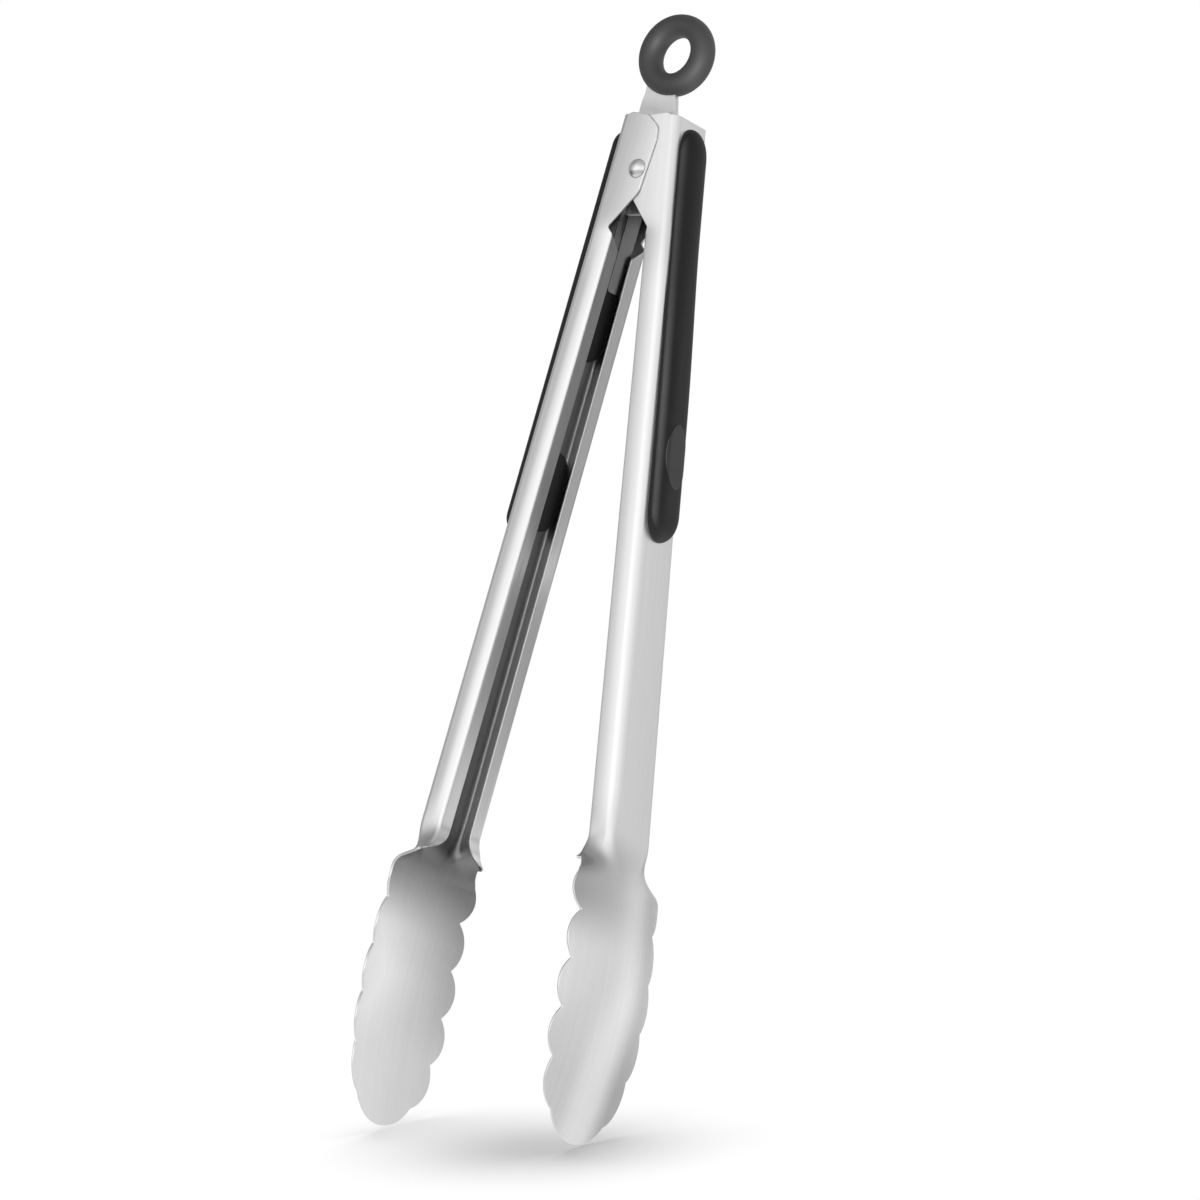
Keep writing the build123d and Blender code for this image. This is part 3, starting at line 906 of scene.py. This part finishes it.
def opened(vectors, mirrored):
    """Vectors on a closed inner arm, brought to the open arm of either hand."""
    hand = np.array([-1 if mirrored else 1, 1, 1])
    turn = Matrix.Rotation(open_angle if mirrored else -open_angle, 3, "Y")
    return vectors * hand @ np.array(turn).T


def pressed_arm(name, ears, pin_at, mirrored):
    """The finished mesh of one arm, placed at the pivot and opened."""
    points, faces, inner, ways = blank_mesh(ears, pin_at)
    count = len(points)
    across, depth = points[:, 0], points[:, 1]
    outer = folded(across, depth, ears)
    normal = facing(across, depth, ears)
    bowed = facing(across, depth, ears, bowed=True)
    place = [outer, outer - sheet * normal]
    shade = [bowed, -bowed]
    blank = [points, points]
    # Painted light and shade for the two faces of the sheet; the rounded rim gets none.
    gloss_or_painted_light = [painted_light_share(across, depth, ears, face) for face in ("outer", "inner")]
    triangles = [faces, faces[:, ::-1] + count]
    total = 2 * count
    start = 0
    for loop, way in zip(inner, ways):
        size = len(loop)
        ring_before = np.arange(start, start + size)
        for k in range(1, rim_steps):
            turn = pi * k / rim_steps
            flat = loop + rim_round * sin(turn) ** 0.7 * way
            face = folded(flat[:, 0], flat[:, 1], ears)
            out = facing(flat[:, 0], flat[:, 1], ears)
            ahead = flat + 0.02 * way
            beyond = unit(folded(ahead[:, 0], ahead[:, 1], ears) - face)
            place.append(face - sheet / 2 * (1 - cos(turn)) * out)
            tilt = sin(turn) / rim_round * beyond + cos(turn) / (sheet / 2) * out
            shade.append(unit(tilt))
            blank.append(flat)
            gloss_or_painted_light.append(np.ones(size))
            ring_now = np.arange(total, total + size)
            triangles += strip(ring_before, ring_now)
            ring_before = ring_now
            total += size
        triangles += strip(ring_before, np.arange(count + start, count + start + size))
        start += size
    place, shade, blank = np.concatenate(place), np.concatenate(shade), np.concatenate(blank)
    triangles = np.concatenate(triangles)

    place[:, 0] -= pin_at
    place = opened(place, mirrored) * mm + np.array(pin)
    shade = opened(shade, mirrored)
    corner = place[triangles]
    out = np.cross(corner[:, 1] - corner[:, 0], corner[:, 2] - corner[:, 0])
    wrong = np.einsum("ij,ij->i", out, shade[triangles].mean(axis=1)) < 0
    triangles[wrong] = triangles[wrong][:, ::-1]

    mesh = bpy.data.meshes.new(name)
    mesh.from_pydata(place.tolist(), [], triangles.tolist())
    mesh.validate()
    layer = mesh.uv_layers.new(name="Blank")
    corners_at = np.zeros(len(mesh.loops), int)
    mesh.loops.foreach_get("vertex_index", corners_at)
    layer.data.foreach_set("uv", (blank[corners_at] * mm).astype(np.float32).ravel())
    shade_smooth(mesh)
    mesh.normals_split_custom_set_from_vertices([tuple(n) for n in shade])
    levels = np.concatenate(gloss_or_painted_light).astype(np.float32)
    mesh.attributes.new("Painted_light", "FLOAT", "POINT").data.foreach_set("value", levels)
    mesh.materials.append(arm_steel)
    print(name, len(place), "points", len(triangles), "triangles")
    return placed(name, mesh)


def strip(before, now):
    """Triangles between two rings of the same size."""
    before_next, now_next = np.roll(before, -1), np.roll(now, -1)
    halves = ((before, before_next, now_next), (before, now_next, now))
    return [np.stack(half, axis=1) for half in halves]


inner_sheet = pressed_arm("inner_arm_sheet", ear_width, 0.0, False)
outer_sheet = pressed_arm("outer_arm_sheet", ear_width + 2 * nested, outer_inset, True)
for arm, body in ((inner_sheet, "inner_arm"), (outer_sheet, "outer_arm")):
    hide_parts(body)
    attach(arm, body)

# %% [markdown]
# A grip is a long soft pad on the back plate, rounded off at both ends in plan and in height.
# Its section is an arch. The power of an arch says how full it is: 2 is half an ellipse, and
# more is squarer. The inner grip is nearly an ellipse at its top and fuller further down.

# %% The grips
grip_half = 6.1
grip_top = 13.5  # above the pivot
grip_bottom = 114.4  # below it
grip_end = 9.0  # length of the rounding at each end; the outer grip's ends are half circles
grip_rise = 4.2
grip_swell = 0.35  # higher by this where it is full
round_power = 2.1
added_power = 1.3  # at the full part of the inner grip
outer_power = 4.5


def grip_pad(name, pin_at, mirrored):
    """A closed pad on the back plate of one arm: arches across it, from end to end."""
    end = grip_half if mirrored else grip_end
    share = np.linspace(0, 1, 25)
    ends = end * (1 - np.cos(share * pi / 2))
    between = np.linspace(-1.5, 102.5, 53)
    depths = np.concatenate([ends - grip_top, between, grip_bottom - ends[::-1]])
    turns = np.linspace(0, pi, 41)
    points, faces = [], []
    for depth in depths:
        from_end = min(depth + grip_top, grip_bottom - depth)
        into_end = max(0.0, 1 - from_end / end)
        shrunk = max(0.0, 1 - into_end**round_power) ** (1 / round_power)
        full = 1.0 if mirrored else ramp(depth, 20, 60)
        power = 2 / (outer_power if mirrored else round_power + added_power * full)
        rise = (grip_rise + grip_swell * full) * shrunk
        for turn in turns:
            side = grip_half * shrunk * np.sign(cos(turn)) * abs(cos(turn)) ** power
            points.append((back_out - pin_at + rise * max(0.0, sin(turn)) ** power, side, -depth))
    count = len(turns)
    for row in range(len(depths) - 1):
        for n in range(count):
            a, b = row * count + n, row * count + (n + 1) % count
            faces.append((a, b, b + count, a + count))
    place = opened(np.array(points), mirrored) * mm + np.array(pin)
    mesh = bpy.data.meshes.new(name)
    mesh.from_pydata(place.tolist(), [], faces)
    tidy = bmesh.new()
    tidy.from_mesh(mesh)
    bmesh.ops.remove_doubles(tidy, verts=tidy.verts, dist=1e-6)
    bmesh.ops.recalc_face_normals(tidy, faces=tidy.faces)
    tidy.to_mesh(mesh)
    tidy.free()
    shade_smooth(mesh, 50)
    mesh.materials.append(grip_rubber)
    print(name, len(mesh.polygons), "faces")
    return placed(name, mesh)


inner_pad = grip_pad("inner_grip_pad", 0.0, False)
outer_pad = grip_pad("outer_grip_pad", outer_inset, True)
for pad, arm in ((inner_pad, "inner"), (outer_pad, "outer")):
    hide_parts(arm + "_grip")
    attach(pad, arm + "_arm")
soft_parts.objects.link(inner_pad)

# %% [markdown]
# The ring and the leaf springs are both one section swept along a path, so one geometry tree
# makes them. The section runs from an ellipse, for the ring, to a plain rectangle, for the
# springs, and the far end of a strip can be rounded in its own plane.

# %% Geometry tree: a section swept along a path
def sweep_tree():
    """Tree with named inputs that sweeps a section along the edges of the mesh it is given."""
    sizes = ("Half width", "Half depth", "Squareness", "End rounding")
    takes = [("Geometry", "Geometry", None)] + [(label, FLOAT, None) for label in sizes]
    takes += [("Section points", "Int", None), ("Finish", "Material", None)]
    gives = [("Geometry", "Geometry")]
    tree, taken, given = group_tree("Swept section", takes, gives, "GeometryNodeTree")
    new, do = partial(add, tree), partial(maths, tree)

    def position():
        return new("SeparateXYZ", Vector=new("GeometryNodeInputPosition").outputs[0])

    path = new("GeometryNodeMeshToCurve", Mesh=taken["Geometry"]).outputs[0]
    whole = new("GeometryNodeSplineLength").outputs["Length"]
    so_far = new("GeometryNodeSplineParameter").outputs["Length"]
    beside = position().outputs["Y"]
    for label, value in (("to_end", do("SUBTRACT", whole, so_far)), ("middle", beside)):
        kept = new("GeometryNodeStoreNamedAttribute", Geometry=path, Name=label, Value=value)
        path = kept.outputs[0]

    count = taken["Section points"]
    circle = new("GeometryNodeCurvePrimitiveCircle", Resolution=count, Radius=1.0)
    turned = new("GeometryNodeTransform", Geometry=circle, Rotation=(0, 0, radians(45)))
    spot = position()
    power = do("SUBTRACT", 1.0, taken["Squareness"])
    sides = []
    for axis, half in (("X", "Half width"), ("Y", "Half depth")):
        reach = do("POWER", do("ABSOLUTE", spot.outputs[axis]), power)
        signed = do("MULTIPLY", reach, do("SIGN", spot.outputs[axis]))
        sides.append(do("MULTIPLY", signed, taken[half]))
    shaped = new("CombineXYZ", X=sides[0], Y=sides[1])
    section = new("GeometryNodeSetPosition", Geometry=turned, Position=shaped)
    solid = new("GeometryNodeCurveToMesh", Curve=path, Profile_Curve=section)
    solid.inputs["Fill Caps"].default_value = True

    to_end = new("GeometryNodeInputNamedAttribute", Name="to_end").outputs["Attribute"]
    middle = new("GeometryNodeInputNamedAttribute", Name="middle").outputs["Attribute"]
    radius = do("MAXIMUM", taken["End rounding"], 1e-6)
    into = do("DIVIDE", do("SUBTRACT", radius, to_end), radius)
    into = do("MINIMUM", do("MAXIMUM", into, 0.0), 1.0)
    fall = do("SUBTRACT", 1.0, do("SQRT", do("SUBTRACT", 1.0, do("MULTIPLY", into, into))))
    share = do("SUBTRACT", 1.0, do("MULTIPLY", fall, do("DIVIDE", radius, taken["Half width"])))
    now = position().outputs
    across = do("ADD", middle, do("MULTIPLY", do("SUBTRACT", now["Y"], middle), share))
    moved = new("CombineXYZ", X=now["X"], Y=across, Z=now["Z"])
    ended = new("GeometryNodeSetPosition", Geometry=solid, Position=moved).outputs[0]
    for label in ("to_end", "middle"):
        ended = new("GeometryNodeRemoveAttribute", Geometry=ended, Name=label).outputs[0]
    plain = new("GeometryNodeRealizeInstances", Geometry=ended)
    finished = new("GeometryNodeSetMaterial", Geometry=plain, Material=taken["Finish"])
    tree.links.new(finished.outputs[0], given[0])
    return tree


sweep = sweep_tree()


def swept(name, path, closed, finish, sizes):
    """Plain mesh of a section swept along a path of points in the row frame."""
    count = len(path)
    edges = [(n, n + 1) for n in range(count - 1)] + ([(count - 1, 0)] if closed else [])
    mesh = bpy.data.meshes.new(name + "_path")
    mesh.from_pydata(path, edges, [])
    piece = placed(name, mesh)
    maker = piece.modifiers.new("sweep", "NODES")
    maker.node_group = sweep
    settings = {"Finish": finish, **sizes}
    for item in sweep.interface.items_tree:
        if item.in_out == "INPUT" and item.name in settings:
            maker[item.identifier] = settings[item.name]
    evaluated = piece.evaluated_get(bpy.context.evaluated_depsgraph_get())
    made = bpy.data.meshes.new_from_object(evaluated)
    piece.modifiers.clear()
    piece.data = made
    shade_smooth(made, 35)
    return piece


# %% The hanging ring
low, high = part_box("hang_ring")
ring_depth = (high.y - low.y) / 2
ring_outer = (high.x - low.x) / 2
ring_tube = 3.5 * mm
ring_turns = [2 * pi * n / 120 for n in range(120)]
ring_radius = ring_outer - ring_tube
ring_path = [ring_centre + ring_radius * Vector((sin(t), 0, cos(t))) for t in ring_turns]
ring_sizes = {
    "Half width": ring_depth,
    "Half depth": ring_tube,
    "Squareness": 0.0,
    "Section points": 48,
    "End rounding": 0.0,
}
ring = swept("ring_soft", ring_path, True, ring_rubber, ring_sizes)
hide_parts("hang_ring")
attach(ring, "lock_slider")
hanger.objects.link(ring)
print("ring", len(ring.data.polygons), "faces")

# %% [markdown]
# The lock plate lies beside the middle of the rivet, but the ring is moulded round its middle.
# So the tab leans back between the two, and it is a little narrower on the side of the inner
# arm. The plate is cut into thin bands first, so that it can bend.

# %% The lock plate
band = 0.6
moved_over = 2.7  # towards the outer arm, at the ring
narrower = 2.4  # on the inner arm's side, low on the tab
less_above = 1.8  # of that, given back further up
tab_half = 7.65  # on the outer arm's side, below the eye
eye_more = 2.0  # and so much more at the eye

low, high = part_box("lock_plate")
aside = ring_centre.y - (low.y + high.y) / 2
shape = bmesh.new()
shape.from_mesh(frame["nodes"]["lock_plate"].data)
for level in np.arange(-37.2, -3.0, band):
    everything = shape.verts[:] + shape.edges[:] + shape.faces[:]
    bmesh.ops.bisect_plane(shape, geom=everything, plane_co=(0, 0, level * mm), plane_no=(0, 0, 1))
for point in shape.verts:
    level = point.co.z / mm
    leant = ramp(level, -34, 21)
    in_ring = ramp(level, -9, 4)
    narrowed = ramp(level, -37, 9) * (narrower - less_above * ramp(level, -21, 8))
    on_inner_side = min(1.0, max(0.0, point.co.x / mm / 5))
    point.co.y += aside * leant
    point.co.x -= (moved_over * leant**3 + narrowed * on_inner_side) * (1 - in_ring) * mm
    point.co.x = max(point.co.x, -(tab_half + eye_more * ramp(level, -22.0, 3.0)) * mm)
tab_mesh = bpy.data.meshes.new("lock_plate_bent")
shape.to_mesh(tab_mesh)
shape.free()
shade_smooth(tab_mesh, 35)
tab_mesh.materials.append(plate_steel)
plate = placed("lock_plate_bent", tab_mesh)
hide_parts("lock_plate")
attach(plate, "lock_slider")
print("lock plate leans back by", round(aside / mm, 2), "mm;", len(tab_mesh.polygons), "faces")

# %% [markdown]
# Each leaf spring is bent over its sleeve and presses on both arms. It is made as two halves
# that meet over the rivet, one for each arm.

# %% The leaf springs
leaf_bend = 4.3  # from the rivet out to the middle of the strip, where it is bent
leaf_sheet = 0.5
leaf_reach = 36.5  # where the legs end, below the pin
leaf_rest = 6.15  # how far out they lie there, on the closed inner arm
leaf_corner = 1.4


def half_leaf(rest):
    """Path of one half, in x and z from the pin: round the bend, then straight to the foot."""
    foot = Vector((rest * cos(open_angle) + leaf_reach * sin(open_angle), 0))
    foot.y = rest * sin(open_angle) - leaf_reach * cos(open_angle)
    start = atan2(foot.y, foot.x) + acos(leaf_bend / foot.length)
    points = [leaf_bend * Vector((cos(t), sin(t))) for t in np.linspace(pi / 2, start, 25)]
    knee = points[-1]
    last = leaf_corner / (foot - knee).length
    shares = list(np.linspace(0, 1 - last, 28)[1:])
    shares += [1 - last * k**2 for k in np.linspace(1, 0, 14)[1:]]
    return points + [knee.lerp(foot, float(k)) for k in shares]


for spring in ("near_spring", "far_spring"):
    low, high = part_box(spring)
    sizes = {
        "Half width": (high.y - low.y) / 2,
        "Half depth": leaf_sheet / 2 * mm,
        "Squareness": 1.0,
        "Section points": 4,
        "End rounding": min(leaf_corner * mm, (high.y - low.y) / 2),
    }
    middle = (low.y + high.y) / 2
    rests = ((1, "inner_arm", leaf_rest), (-1, "outer_arm", leaf_rest - outer_inset))
    for hand, body, rest in rests:
        half = half_leaf(rest)
        path = [Vector((hand * p.x * mm, middle, p.y * mm)) + pin for p in half]
        leaf = swept(spring + "_" + body, path, False, spring_steel, sizes)
        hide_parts(spring)
        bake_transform(leaf)
        print(leaf.name, len(leaf.data.polygons), "faces")

# %% [markdown]
# The other pieces keep the shape that the frame gives them and only take their finish.

# %% Finishes of the pieces from the frame
anchors = [f"{arm}_{end}_anchor" for arm in ("inner", "outer") for end in ("upper", "lower")]
finishes = (
    (inlay_rubber, ("inner_grip_inlay", "outer_grip_inlay")),
    (anchor_plastic, anchors),
    (rivet_steel, ("pivot_rivet", "near_sleeve", "far_sleeve")),
)
for finish, names in finishes:
    for name in names:
        materials = frame["nodes"][name].data.materials
        materials.clear()
        materials.append(finish)
soft_parts.objects.link(frame["nodes"]["inner_grip_inlay"])
